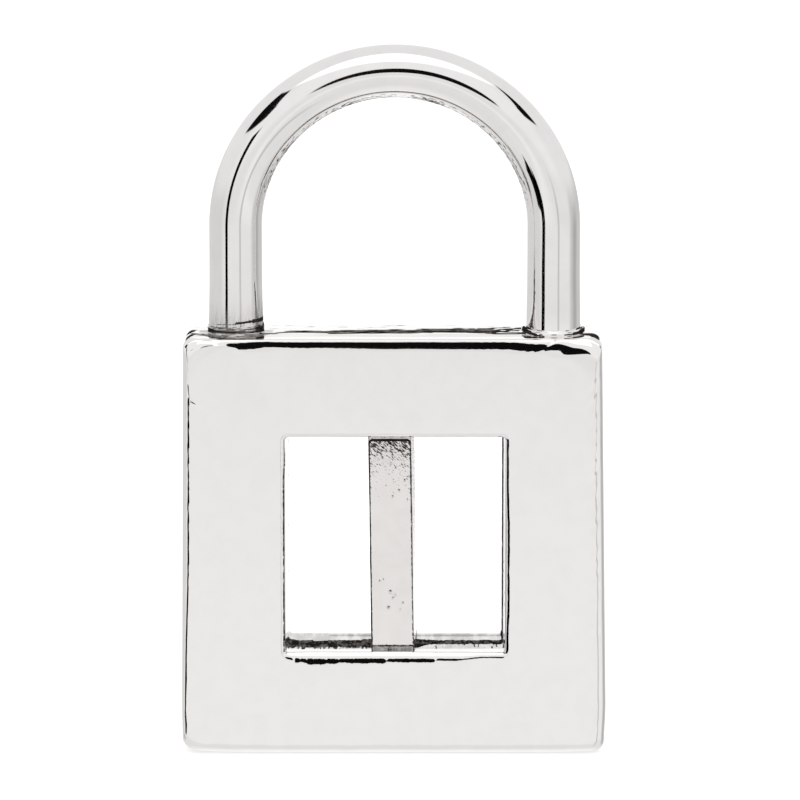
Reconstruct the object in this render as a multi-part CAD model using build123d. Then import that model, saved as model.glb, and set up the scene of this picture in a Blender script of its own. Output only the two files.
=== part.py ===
from build123d import *
import os
from math import cos, radians, sin, tan

# A small square padlock pendant in silver, standing on its base.
# Millimetres. X to the right, +Z up to the shackle, the front face towards -Y.
# The origin is at the base, in the middle of the pendant's width and thickness.

# The square lock body
body_width = 19.0
body_height = 19.15
body_thickness = 4.1
body_edge_round = 0.42

# The window cut right through the body
window_width = 10.0
window_height = 10.03
window_sill_height = 4.65
window_shift = 0.1
window_corner_round = 0.18
window_edge_round = 0.3

# The shackle, a round wire bent to a half circle with two straight legs
wire_diameter = 2.4
leg_spacing = 14.3
leg_rise = 4.72
shackle_shift = 0.05
leg_end_chamfer = 0.15

# The two sockets in the body's top face that hold the legs, each with a low raised collar
socket_depth = 2.0
leg_clearance = 0.03
leg_end_gap = 0.03
collar_foot = 0.28
collar_land = 0.06
collar_height = 0.16

# The upright bar between the window's top and bottom walls
bar_width = 1.9
bar_front_recess = 0.65
bar_back_recess = 0.25
bar_shift = -0.195
bar_lean_deg = 0.8
bar_flank_draft_deg = 2.6
bar_end_gap = 0.03
bar_edge_round = 0.12

# Places that follow from the sizes above
front_y = -body_thickness / 2
back_y = body_thickness / 2
window_bottom = window_sill_height
window_top = window_bottom + window_height
wire_radius = wire_diameter / 2
socket_radius = wire_radius + leg_clearance
arch_radius = leg_spacing / 2
arch_centre_z = body_height + leg_rise
leg_end_z = body_height - socket_depth + leg_end_gap
leg_places = [shackle_shift + side * arch_radius for side in (-1, 1)]


def socket_collar(x):
    """A low collar round one socket: a rim that slopes up to the leg, on a drum sunk into the body."""
    foot_radius = socket_radius + collar_foot
    drum_height = body_edge_round
    drum = Pos(x, 0, body_height - drum_height / 2) * Cylinder(foot_radius, drum_height)
    rim_place = Pos(x, 0, body_height + collar_height / 2)
    return drum + rim_place * Cone(foot_radius, socket_radius + collar_land, collar_height)


def socket_hole(x):
    """The blind hole that one leg stands in, from its floor up through the collar."""
    hole_height = socket_depth + 2 * collar_height
    middle_z = body_height - socket_depth + hole_height / 2
    return Pos(x, 0, middle_z) * Cylinder(socket_radius, hole_height)


def window_cutter():
    """The window's straight walls, from the front face through to the back, with small inner corners."""
    middle_z = (window_bottom + window_top) / 2
    outline = RectangleRounded(window_width, window_height, window_corner_round)
    front_plane = Plane(origin=(window_shift, front_y, middle_z), x_dir=(1, 0, 0), z_dir=(0, 1, 0))
    return extrude(front_plane * outline, amount=body_thickness)


def window_mouths(body):
    """The edges where the window's walls meet the front and the back face."""
    half_width = window_width / 2 + window_edge_round
    beside = body.edges().filter_by_position(Axis.X, window_shift - half_width, window_shift + half_width)
    around = beside.filter_by_position(Axis.Z, window_bottom - window_edge_round, window_top + window_edge_round)
    front_edges = around.filter_by_position(Axis.Y, front_y, front_y)
    back_edges = around.filter_by_position(Axis.Y, back_y, back_y)
    return front_edges + back_edges


def make_lock_body():
    """A square block with rounded edges, a window through it and two collared sockets in its top face."""
    block = Pos(0, 0, body_height / 2) * Box(body_width, body_thickness, body_height)
    body = fillet(block.edges(), body_edge_round) - window_cutter()
    body = fillet(window_mouths(body), window_edge_round)
    for x in leg_places:
        body = body + socket_collar(x)
    for x in leg_places:
        body = body - socket_hole(x)
    return body


def bar_section(z, centre_x):
    """The bar's outline at its foot: a straight left flank and a right one drafted so that the back is wider."""
    near_y = front_y + bar_front_recess
    far_y = back_y - bar_back_recess
    draft = (far_y - near_y) * tan(radians(bar_flank_draft_deg))
    left = centre_x - bar_width / 2
    right = centre_x + bar_width / 2
    return make_face(
        Polyline((left, near_y, z), (right, near_y, z), (right + draft, far_y, z), (left, far_y, z), close=True)
    )


def make_window_bar():
    """The leaning bar, drawn up from its foot between the window's walls, with its front edges rounded over."""
    foot_z = window_bottom + bar_end_gap
    height = window_height - 2 * bar_end_gap
    lean = radians(bar_lean_deg)
    foot_x = window_shift + bar_shift + height / 2 * tan(lean)
    bar = extrude(bar_section(foot_z, foot_x), amount=height / cos(lean), dir=(-sin(lean), 0, cos(lean)))
    near_y = front_y + bar_front_recess
    front_edges = [edge for edge in bar.edges() if edge.bounding_box().max.Y < near_y + 1e-3]
    return fillet(front_edges, bar_edge_round)


def make_shackle():
    """The bent wire: up one leg, round the half circle and down the other, with small chamfers at both ends."""
    left, right = leg_places
    crown = (shackle_shift, 0, arch_centre_z + arch_radius)
    path = (
        Line((left, 0, leg_end_z), (left, 0, arch_centre_z))
        + ThreePointArc((left, 0, arch_centre_z), crown, (right, 0, arch_centre_z))
        + Line((right, 0, arch_centre_z), (right, 0, leg_end_z))
    )
    start = Plane(origin=(left, 0, leg_end_z), x_dir=(1, 0, 0), z_dir=(0, 0, 1))
    wire = sweep(start * Circle(wire_radius), path=path)
    rims = [edge for edge in wire.edges() if edge.bounding_box().max.Z < leg_end_z + 1e-3]
    return chamfer(rims, leg_end_chamfer)


os.makedirs("parts", exist_ok=True)
export_step(make_lock_body(), "parts/lock_body.step")
export_step(make_window_bar(), "parts/window_bar.step")
export_step(make_shackle(), "parts/shackle.step")
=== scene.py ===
"""A small square padlock pendant in polished silver, standing on a pale floor under soft light.

The lock body, its bar and its shackle are surfaces worked out on grids of two parameters. Lengths are in
metres, X runs to the right, the front face looks towards -Y and +Z runs up to the shackle.
"""

import logging
import math
from dataclasses import dataclass, field
from enum import Enum

import bpy
import numpy as np
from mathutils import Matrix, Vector


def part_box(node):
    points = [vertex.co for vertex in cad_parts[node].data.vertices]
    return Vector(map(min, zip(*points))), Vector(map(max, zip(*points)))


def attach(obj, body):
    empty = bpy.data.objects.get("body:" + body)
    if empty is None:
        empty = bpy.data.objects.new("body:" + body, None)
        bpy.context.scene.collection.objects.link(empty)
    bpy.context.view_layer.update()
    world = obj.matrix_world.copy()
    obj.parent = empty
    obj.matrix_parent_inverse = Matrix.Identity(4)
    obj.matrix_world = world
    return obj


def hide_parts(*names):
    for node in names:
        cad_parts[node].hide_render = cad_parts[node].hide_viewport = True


LOG = logging.getLogger("padlock_pendant")
MM = 0.001
LOCK_TOP = 19.15 * MM  # height of the lock's top face
SIDE_RUN = 19.0  # millimetres along a side, for the ripples of its edges
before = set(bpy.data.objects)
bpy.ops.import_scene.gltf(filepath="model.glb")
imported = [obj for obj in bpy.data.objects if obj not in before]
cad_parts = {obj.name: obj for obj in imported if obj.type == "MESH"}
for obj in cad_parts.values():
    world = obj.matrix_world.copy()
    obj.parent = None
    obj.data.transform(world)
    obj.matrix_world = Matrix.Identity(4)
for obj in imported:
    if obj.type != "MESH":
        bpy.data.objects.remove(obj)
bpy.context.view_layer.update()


class Skin(Enum):
    """How a silver surface was left, each with the record's material slot that it takes."""

    POLISHED = "polished_silver"
    CAST = "cast_silver"
    WIRE = "shackle_silver"


def ripples(x: np.ndarray, y: np.ndarray, wavelength: float, seed: int, waves: int = 12) -> np.ndarray:
    """A smooth uneven field, about -1 to 1: the scaled sum of sine waves that run in seeded directions.

    Args:
        x: First coordinate of each point.
        y: Second coordinate of each point.
        wavelength: The mean distance from crest to crest.
        seed: Chooses directions, lengths and phases.
        waves: How many sine waves are added.

    Returns:
        The field's value at each point.
    """
    rng = np.random.default_rng(seed)
    turns = rng.uniform(0.0, 2.0 * np.pi, waves)
    numbers = 2.0 * np.pi / (wavelength * rng.uniform(0.6, 1.7, waves))
    phases = rng.uniform(0.0, 2.0 * np.pi, waves)
    spread_x, spread_y = np.asarray(x)[..., None], np.asarray(y)[..., None]
    total = np.sin(numbers * (spread_x * np.cos(turns) + spread_y * np.sin(turns)) + phases).sum(-1)
    return total / math.sqrt(waves * 2.0)


def smooth_step(value: np.ndarray, low: float, high: float) -> np.ndarray:
    """Rises from 0 at low to 1 at high along the cubic 3t^2 - 2t^3."""
    t = np.clip((np.asarray(value) - low) / (high - low), 0.0, 1.0)
    return t * t * (3.0 - 2.0 * t)


def patch(value: np.ndarray, low: float, high: float, soft: float) -> np.ndarray:
    """1 from low to high, falling smoothly to 0 over soft beyond them."""
    return smooth_step(value, low - soft, low) * (1.0 - smooth_step(value, high, high + soft))


@dataclass(frozen=True)
class DarkStroke:
    """A dark strand on a skin, a stain in some places and painted shade in others: a straight line between
    two places, half its width, and its strength.
    """

    u0: float
    v0: float
    u1: float
    v1: float
    half: float
    strength: float

    def cover(self, u: np.ndarray, v: np.ndarray) -> np.ndarray:
        """The strength, falling smoothly to 0 from 0.6 to 1.5 half widths away from the line.

        Args:
            u: First coordinate of each place, in the strand's own units.
            v: Second coordinate.

        Returns:
            How dark the strand makes each place.
        """
        run_u, run_v = self.u1 - self.u0, self.v1 - self.v0
        along = ((u - self.u0) * run_u + (v - self.v0) * run_v) / max(run_u**2 + run_v**2, 1e-9)
        along = np.clip(along, 0.0, 1.0)
        away = np.hypot(u - self.u0 - along * run_u, v - self.v0 - along * run_v)
        return self.strength * (1.0 - smooth_step(away, 0.6 * self.half, 1.5 * self.half))


def darkest(dark_strokes: tuple[DarkStroke, ...], u: np.ndarray, v: np.ndarray) -> np.ndarray:
    """The strongest of the strokes at each place (u, v)."""
    return np.max([stroke.cover(u, v) for stroke in dark_strokes], axis=0)


def grid_object(name: str, points: np.ndarray, grime_and_shade: np.ndarray, haze_and_grey_reflection: np.ndarray, flow: np.ndarray,
                rows_close: bool) -> bpy.types.Object:
    """A mesh on a grid whose columns close on themselves.

    Each quad joins a grid point, its neighbour in the row and the two in the next row. Rows that don't close
    get one flat face at each end. The faces are turned outwards by the sign of the volume that they enclose.

    Args:
        name: The object's name.
        points: Places of shape (rows, columns, 3).
        grime_and_shade: How close each point is to black dirt and painted shade, from 0 to 1, of shape (rows,
            columns).
        haze_and_grey_reflection: How dull and grey each point is, by haze and by painted grey reflection,
            from 0 to 1, of the same shape.
        flow: Coordinates that the skin's streaks follow, the first along them, of shape (rows, columns, 3).
        rows_close: Whether the last row joins the first.

    Returns:
        The new object, at the origin.
    """
    rows, columns = points.shape[:2]
    index = np.arange(rows * columns).reshape(rows, columns)
    after = np.roll(index, -1, axis=0) if rows_close else index[1:]
    before = index if rows_close else index[:-1]
    quads = np.stack([before, np.roll(before, -1, 1), np.roll(after, -1, 1), after], -1).reshape(-1, 4)
    flat = points.reshape(-1, 3)
    a, b, c, d = (flat[quads[:, k]] for k in range(4))
    volume = np.einsum("ij,ij->i", a, np.cross(b, c) + np.cross(c, d)).sum()
    faces = quads if volume > 0.0 else quads[:, ::-1]
    ends = [] if rows_close else [index[0][::-1], index[-1]]
    ends = [end if volume > 0.0 else end[::-1] for end in ends]
    mesh = bpy.data.meshes.new(name)
    mesh.from_pydata(flat.tolist(), [], faces.tolist() + [end.tolist() for end in ends])
    for key, values in (("grime_and_shade", grime_and_shade), ("haze_and_grey_reflection", haze_and_grey_reflection)):
        data = mesh.attributes.new(key, "FLOAT", "POINT").data
        data.foreach_set("value", values.astype(np.float32).ravel())
    flow_data = mesh.attributes.new("flow", "FLOAT_VECTOR", "POINT").data
    flow_data.foreach_set("vector", flow.astype(np.float32).ravel())
    mesh.shade_smooth()
    mesh.set_sharp_from_angle(angle=math.radians(50.0))
    made = bpy.data.objects.new(name, mesh)
    bpy.context.scene.collection.objects.link(made)
    return made


class NodeMaths:
    """Short calls that add maths nodes to one node tree."""

    def __init__(self, tree: bpy.types.NodeTree) -> None:
        """Keeps the tree that the nodes go into."""
        self.tree = tree

    def node(self, kind: str, **settings: object) -> bpy.types.Node:
        """Adds a node.

        Args:
            kind: The node's type.
            settings: Properties of its own to set.

        Returns:
            The new node.
        """
        made = self.tree.nodes.new(kind)
        for key, value in settings.items():
            setattr(made, key, value)
        return made

    def feed(self, socket: bpy.types.NodeSocket, value: object) -> None:
        """Links a socket to another, or sets the plain value that it holds.

        Args:
            socket: The input.
            value: A socket or a plain value.
        """
        if isinstance(value, bpy.types.NodeSocket):
            self.tree.links.new(value, socket)
        else:
            socket.default_value = value

    def op(self, operation: str, *values: object) -> bpy.types.NodeSocket:
        """One maths node, such as ADD or ARCTAN2.

        Args:
            operation: What it does.
            values: Numbers or sockets that it works on.

        Returns:
            The result.
        """
        made = self.node("ShaderNodeMath", operation=operation)
        for socket, value in zip(made.inputs, values):
            self.feed(socket, value)
        return made.outputs[0]

    def ramp(self, value: object, low: float, high: float, start: float, end: float) -> bpy.types.NodeSocket:
        """Goes smoothly from start at low to end at high, and stays level outside them.

        Args:
            value: What the ramp follows, a number or a socket.
            low: Where it starts.
            high: Where it ends.
            start: Its level up to low.
            end: Its level from high on.

        Returns:
            The ramp's level.
        """
        made = self.node("ShaderNodeMapRange", interpolation_type="SMOOTHSTEP")
        for key, number in (("From Min", low), ("From Max", high), ("To Min", start), ("To Max", end)):
            made.inputs[key].default_value = number
        self.feed(made.inputs["Value"], value)
        return made.outputs[0]

    def band(self, value: object, centre: object, half: object, soft: float) -> bpy.types.NodeSocket:
        """1 within half of centre, falling to 0 over soft on each side."""
        distance = self.op("ABSOLUTE", self.op("SUBTRACT", value, centre))
        return self.ramp(self.op("SUBTRACT", distance, half), 0.0, soft, 1.0, 0.0)

    def mix(self, first: object, second: object, share: object) -> bpy.types.NodeSocket:
        """first plus share times the step from first to second."""
        return self.op("ADD", first, self.op("MULTIPLY", share, self.op("SUBTRACT", second, first)))


@dataclass(frozen=True)
class SilverFinish:
    """A silver skin: its colour, gloss and hairlines, and the dark of tarnish and painted shade where its
    grime attribute is high.

    Scales count features per metre, depths are in metres, and each stretch scales the flow attribute's axes.
    """

    skin: Skin
    colour: tuple[float, float, float]
    gloss: tuple[float, float]
    hair_scale: float
    hair_depth: float
    streak_scale: float
    streak_stretch: tuple[float, float, float]
    peel_scale: float
    peel_depth: float
    mottle: float = 0.03
    # Colours and gloss of the dark, which is tarnish in some places and painted shade in others.
    tarnish_and_shade: tuple[float, float, float] = (0.022, 0.020, 0.019)
    lighter_tarnish_and_shade: tuple[float, float, float] = (0.18, 0.170, 0.162)
    haze_and_reflection_grey: tuple[float, float, float] = (0.38, 0.365, 0.355)
    dark_gloss: float = 0.5
    haze_gloss: float = 0.35
    wide_scale: float = 260.0
    mottle_scale: float = 1300.0
    blotch_scale: float = 2600.0
    grain_scale: float = 8000.0
    hair_stretch: tuple[float, float, float] = (0.02, 1.0, 1.0)
    dark_spread: float = 2.2
    dark_edge: tuple[float, float] = (0.42, 0.62)

    def material(self) -> bpy.types.Material:
        """Builds the finish as a procedural material.

        The roughness wanders between its two limits with a wide noise. Hairlines are a noise stretched
        along the flow attribute, and peel is a round noise. The haze attribute, which also carries a painted
        grey reflection, is clouded by a stretched noise and mixes the colour towards a dull grey. The dark is
        the grime attribute, which carries tarnish and painted shade, plus a stretched noise, cut off sharply,
        so that a light value leaves a few strands and a heavy one a closed dark patch. A blotchy noise makes
        the dark lighter, except where the value is thickest.

        Returns:
            The material, on Object coordinates and the flow attribute.
        """
        made = bpy.data.materials.new(self.skin.value)
        made.use_nodes = True
        maths = NodeMaths(made.node_tree)
        shader = next(n for n in made.node_tree.nodes if n.type == "BSDF_PRINCIPLED")
        place = maths.node("ShaderNodeTexCoord").outputs["Object"]
        flow = maths.node("ShaderNodeAttribute", attribute_name="flow").outputs["Vector"]
        grime_and_shade = maths.node("ShaderNodeAttribute", attribute_name="grime_and_shade").outputs["Fac"]
        haze_and_grey_reflection = maths.node("ShaderNodeAttribute", attribute_name="haze_and_grey_reflection").outputs["Fac"]
        wide = self.noise(maths, place, self.wide_scale, 2.0)
        peel = self.noise(maths, place, self.peel_scale, 3.0)
        hair = self.noise(maths, self.stretched(maths, flow, self.hair_stretch), self.hair_scale, 2.0)
        drawn = self.stretched(maths, flow, self.streak_stretch)
        streak = self.noise(maths, drawn, self.streak_scale, 4.0)
        cloud = self.noise(maths, drawn, self.streak_scale * 0.45, 4.0)
        spread = maths.op("MULTIPLY", maths.op("SUBTRACT", streak, 0.5), self.dark_spread)
        spread = maths.op("MULTIPLY", spread, maths.ramp(grime_and_shade, 0.0, 0.2, 0.0, 1.0))
        dark = maths.ramp(maths.op("ADD", grime_and_shade, spread), *self.dark_edge, 0.0, 1.0)
        clouded = maths.op("MULTIPLY", haze_and_grey_reflection, maths.ramp(cloud, 0.32, 0.68, 0.45, 1.5))
        mottle = maths.ramp(self.noise(maths, place, self.mottle_scale, 5.0), 0.35, 0.7, 0.0, self.mottle)
        greyed = maths.op("MINIMUM", maths.op("ADD", clouded, mottle), 1.0)
        grey = self.blend(maths, greyed, self.colour, self.haze_and_reflection_grey)
        grain = self.noise(maths, self.stretched(maths, flow, (0.35, 1.0, 1.0)), self.grain_scale, 5.0)
        patches = self.noise(maths, self.stretched(maths, flow, (0.5, 1.0, 1.0)), self.blotch_scale, 3.0)
        blotch = maths.ramp(maths.mix(grain, patches, 0.6), 0.45, 0.57, 0.0, 1.0)
        lightened = maths.op("MULTIPLY", blotch, maths.ramp(grime_and_shade, 0.97, 1.1, 1.0, 0.1))
        # The black colour, of tarnish and of painted shade alike, is laid where the dark is.
        black = self.blend(maths, lightened, self.tarnish_and_shade, self.lighter_tarnish_and_shade)
        maths.feed(shader.inputs["Base Color"], self.blend(maths, dark, grey, black))
        maths.feed(shader.inputs["Metallic"], maths.op("SUBTRACT", 1.0, dark))
        shader.inputs["Specular IOR Level"].default_value = 0.0
        dulling = maths.op("MULTIPLY", haze_and_grey_reflection, self.haze_gloss)
        polish = maths.op("ADD", maths.ramp(wide, 0.3, 0.7, *self.gloss), dulling)
        maths.feed(shader.inputs["Roughness"], maths.mix(polish, self.dark_gloss, dark))
        hairlines = self.bump(maths, hair, self.hair_depth)
        orange_peel = self.bump(maths, peel, self.peel_depth)
        maths.feed(orange_peel.inputs["Normal"], hairlines.outputs["Normal"])
        maths.feed(shader.inputs["Normal"], orange_peel.outputs["Normal"])
        return made

    @staticmethod
    def bump(maths: NodeMaths, height: object, depth: float) -> bpy.types.Node:
        """A bump node at full strength.

        Args:
            maths: The material's nodes.
            height: The relief, from 0 to 1.
            depth: How deep a relief of 1 is, in metres.

        Returns:
            The node, which another one's normal can be fed into.
        """
        made = maths.node("ShaderNodeBump")
        made.inputs["Strength"].default_value = 1.0
        made.inputs["Distance"].default_value = depth
        maths.feed(made.inputs["Height"], height)
        return made

    @staticmethod
    def blend(maths: NodeMaths, share: object, first: object, second: object) -> bpy.types.NodeSocket:
        """Mixes two colours by a share.

        Args:
            maths: The material's nodes.
            share: How much of the second colour is in the mix, from 0 to 1.
            first: A triple or a socket.
            second: A triple or a socket.

        Returns:
            The mixed colour.
        """
        made = maths.node("ShaderNodeMix", data_type="RGBA")
        maths.feed(made.inputs["Factor"], share)
        for key, colour in (("A", first), ("B", second)):
            maths.feed(made.inputs[key], (*colour, 1.0) if isinstance(colour, tuple) else colour)
        return made.outputs["Result"]

    @staticmethod
    def stretched(maths: NodeMaths, place: object, scale: tuple[float, float, float]) -> bpy.types.NodeSocket:
        """Scales a place, such as the flow attribute, on each of its three axes.

        Args:
            maths: The material's nodes.
            place: Where the place comes from.
            scale: The factor on each axis.

        Returns:
            The scaled place.
        """
        made = maths.node("ShaderNodeMapping")
        made.inputs["Scale"].default_value = scale
        maths.feed(made.inputs["Vector"], place)
        return made.outputs["Vector"]

    @staticmethod
    def noise(maths: NodeMaths, place: object, scale: float, detail: float) -> bpy.types.NodeSocket:
        """Reads a noise at a place.

        Args:
            maths: The material's nodes.
            place: Where the noise is read.
            scale: Features per metre.
            detail: Octaves.

        Returns:
            The noise's value, mostly from 0.3 to 0.7.
        """
        made = maths.node("ShaderNodeTexNoise")
        made.inputs["Scale"].default_value = scale
        made.inputs["Detail"].default_value = detail
        maths.feed(made.inputs["Vector"], place)
        return made.outputs["Fac"]


FINISHES = {
    Skin.POLISHED: SilverFinish(
        Skin.POLISHED, colour=(0.906, 0.890, 0.881), gloss=(0.03, 0.06), hair_scale=6000.0, hair_depth=1e-7,
        streak_scale=5500.0, streak_stretch=(0.16, 1.0, 1.0), peel_scale=9000.0, peel_depth=0.0,
    ),
    Skin.WIRE: SilverFinish(
        Skin.WIRE, colour=(0.897, 0.881, 0.873), gloss=(0.035, 0.07), hair_scale=7000.0, hair_depth=2e-7,
        streak_scale=13000.0, streak_stretch=(0.25, 1.0, 1.0), peel_scale=9000.0, peel_depth=0.0, mottle=0.05,
    ),
    Skin.CAST: SilverFinish(
        Skin.CAST, colour=(0.875, 0.846, 0.838), gloss=(0.10, 0.18), hair_scale=6000.0, hair_depth=3e-7,
        streak_scale=19000.0, streak_stretch=(0.36, 1.0, 1.0), peel_scale=9000.0, peel_depth=1e-6,
        mottle=0.06, tarnish_and_shade=(0.012, 0.011, 0.010), lighter_tarnish_and_shade=(0.07, 0.066, 0.063),
    ),
}


def finish_piece(piece: bpy.types.Object, material: bpy.types.Material, skin: Skin, node: str) -> None:
    """Dresses a piece, lets it ride with the pendant and hides the solid that it replaces.

    Args:
        piece: The finished object.
        material: Its silver.
        skin: How its surface was left, which names its slot.
        node: The solid that it replaces.
    """
    piece.data.materials.append(material)
    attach(piece, "root")
    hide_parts(node)
    LOG.info("%s: %d faces, %s", piece.name, len(piece.data.polygons), skin.value)


@dataclass(frozen=True)
class Clump:
    """A stretch of an edge where one of its runs is longer or shorter: from start to end, by a factor."""

    run: int
    start: float
    end: float
    factor: float
    soft: float = 0.02

    def gain(self, share: np.ndarray) -> np.ndarray:
        """1 away from the stretch and the factor on it."""
        return 1.0 + (self.factor - 1.0) * patch(share, self.start, self.end, self.soft)


@dataclass(frozen=True)
class EdgeProfile:
    """How a flat face turns over into a wall.

    Each run is (length in millimetres, tilt in degrees that it ends at, unevenness). The wander is the
    length in millimetres of the unevenness's ripples, and clumps make stretches of a run longer or shorter.
    """

    runs: tuple[tuple[float, float, float], ...]
    wander: float = 1.2
    clumps: tuple[Clump, ...] = ()

    def curve(self, share: np.ndarray, steps: int, seed: int) -> tuple[np.ndarray, np.ndarray]:
        """Follows the edge from the face to the wall at every station.

        The tilt grows evenly along each run. The way in from the wall is the sum of the cosine of the tilt
        over what is left of the curve, and the depth is the sum of its sine over what is done. Each run's
        length at a station is its nominal length times the gain of its clumps, times 1 plus its unevenness
        times ripples of the wander length and, half as strong, of a quarter of it.

        Args:
            share: How far along its side each station is, from 0 to 1.
            steps: Points on each run.
            seed: Chooses the ripples.

        Returns:
            Distance in from the wall's plane and depth below the face, each of shape (points, stations).
        """
        path = share * SIDE_RUN
        lengths = []
        for number, (arc, _, uneven) in enumerate(self.runs):
            waves = ripples(path, 0.0 * path, self.wander, seed * 10 + number)
            waves = waves + 0.5 * ripples(path, 0.0 * path, self.wander / 4.0, seed * 10 + number + 5)
            gain = np.prod([clump.gain(share) for clump in self.clumps if clump.run == number], axis=0)
            lengths.append(arc * MM * gain * np.clip(1.0 + uneven * waves, 0.15, 4.0) / steps)
        tilts = [0.0] + [tilt for _, tilt, _ in self.runs]
        grown = [np.linspace(low, high, steps + 1) for low, high in zip(tilts, tilts[1:])]
        middle = np.radians(np.concatenate([(part[1:] + part[:-1]) / 2.0 for part in grown]))[:, None]
        pieces = np.repeat(np.stack(lengths), steps, axis=0)
        zero = np.zeros((1, len(share)))
        along = np.concatenate([zero, np.cumsum(pieces * np.cos(middle), axis=0)])
        depth = np.concatenate([zero, np.cumsum(pieces * np.sin(middle), axis=0)])
        return along[-1] - along, depth


@dataclass
class SquareRing:
    """The shared stations round the lock's square ring, from which outlines of any size are drawn.

    They run up the right side, along the top, down the left side and back along the bottom. Corners are
    numbered from the lower right one, in the same turning sense.
    """

    side_steps: int = 168
    corner_steps: int = 8
    normal: np.ndarray = field(init=False)
    share: np.ndarray = field(init=False)
    first: np.ndarray = field(init=False)

    def __post_init__(self) -> None:
        """Lays the stations: outward direction, share of the side done and the corner it starts from."""
        run = np.linspace(0.0, 1.0, self.side_steps, endpoint=False)
        turn = np.linspace(0.0, np.pi / 2.0, self.corner_steps, endpoint=False)
        angles = np.concatenate([np.zeros_like(run), turn])
        quarter = np.arange(4) * np.pi / 2.0
        angle = (quarter[:, None] + angles[None, :]).ravel()
        self.normal = np.stack([np.cos(angle), np.sin(angle)], -1)
        self.share = np.tile(np.concatenate([run, np.ones_like(turn)]), 4)
        self.first = np.repeat(np.arange(4), len(angles))

    def outline(self, half_x: object, half_z: object, radii: np.ndarray) -> np.ndarray:
        """A rounded rectangle about the origin, with its own radius at each corner.

        A station's centre lies on the straight line between the arc centres of the two corners of its side,
        and the station is its radius further out in the outward direction. In a corner the centre stays.

        Args:
            half_x: Half the width, a number or an array that broadcasts over the stations.
            half_z: Half the height.
            radii: The four corners' radii, of shape (..., 4).

        Returns:
            Places of shape (..., stations, 2).
        """
        sign_x, sign_z = np.array([1.0, 1.0, -1.0, -1.0]), np.array([-1.0, 1.0, 1.0, -1.0])
        second = (self.first + 1) % 4
        start, end = radii[..., self.first], radii[..., second]
        radius = start + (end - start) * self.share
        centres = []
        for sign, half in ((sign_x, half_x), (sign_z, half_z)):
            before, after = sign[self.first] * (half - start), sign[second] * (half - end)
            centres.append(before + (after - before) * self.share)
        places = np.stack(centres, -1)
        return places + self.normal * radius[..., None]

    def by_side(self, right: object, top: object, left: object, bottom: object) -> np.ndarray:
        """Blends a value of each side over the stations, by the square of the outward direction.

        Args:
            right: Value of the right side, a number or an array over the stations.
            top: Value of the top side.
            left: Value of the left side.
            bottom: Value of the bottom side.

        Returns:
            The blended value at each station.
        """
        nx, nz = self.normal[:, 0], self.normal[:, 1]
        flat = np.where(nx > 0.0, right, left) * nx**2
        return flat + np.where(nz > 0.0, top, bottom) * nz**2

    def share_of(self, side: int) -> np.ndarray:
        """The share done of one side: 0 in the corner before it and 1 in the corner after it."""
        return np.where(self.first == (side - 1) % 4, 0.0, self.share)

    def across_only(self, shift: np.ndarray) -> tuple[np.ndarray, np.ndarray]:
        """A shift of each station along X and Z: its own across its side, its row's mean along the side."""
        mean = shift.mean(-1)[:, None]
        return tuple(mean + (shift - mean) * self.normal[:, axis] ** 2 for axis in (0, 1))


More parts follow.
